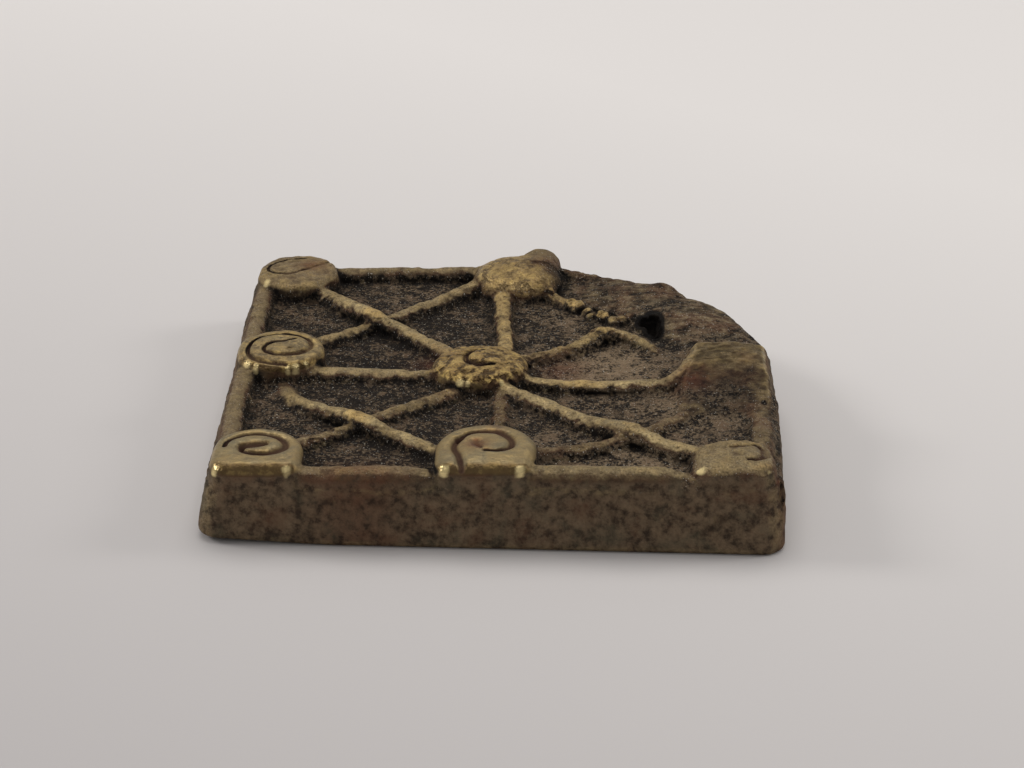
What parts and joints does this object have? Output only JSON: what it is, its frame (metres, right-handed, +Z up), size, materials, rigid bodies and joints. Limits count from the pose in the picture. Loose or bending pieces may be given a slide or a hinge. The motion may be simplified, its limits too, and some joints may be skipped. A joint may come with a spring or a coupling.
{
  "type": "gold weight",
  "caption": "Small cast-brass tablet for weighing gold dust, with spiral bosses joined by thread-like ridges on a sunk field and one rounded, unfilled corner.",
  "frame": {"origin": "middle of the flat underside of the plate", "axes": "+X along the front edge to the right, +Y to the back, +Z up out of the relief"},
  "size_m": [0.036, 0.0347, 0.0059],
  "materials": {
    "worn_brass": "brass worn bright on the crests, with dirt in the hollows",
    "dull_brass": "dull tarnished brass, smooth from handling",
    "dark_brass": "dark brown patina, grainy and pitted as cast"
  },
  "bodies": {
    "root": {"base_plate": "dark_brass", "boss_front_left": "worn_brass", "boss_front_middle": "worn_brass", "boss_front_right": "worn_brass", "boss_left_middle": "worn_brass", "boss_centre": "worn_brass", "boss_right_middle": "dull_brass", "boss_back_left": "worn_brass", "boss_back_middle": "worn_brass", "rim_front_left": "dull_brass", "rim_front_right": "dull_brass", "rim_left_front": "dull_brass", "rim_left_back": "dull_brass", "rim_back_left": "dull_brass", "rim_back_right": "dull_brass", "rim_right_front": "dull_brass", "arm_left": "worn_brass", "arm_right": "worn_brass", "arm_front": "worn_brass", "arm_back": "worn_brass", "under_thread_front_left": "worn_brass", "over_thread_front_left": "worn_brass", "under_thread_back_left": "worn_brass", "over_thread_back_left": "worn_brass", "under_thread_front_right": "worn_brass", "over_thread_front_right": "worn_brass", "broken_thread_centre": "worn_brass", "broken_thread_back": "worn_brass", "corner_swell": "dull_brass", "gate_stub": "dark_brass"}
  },
  "joints": []
}
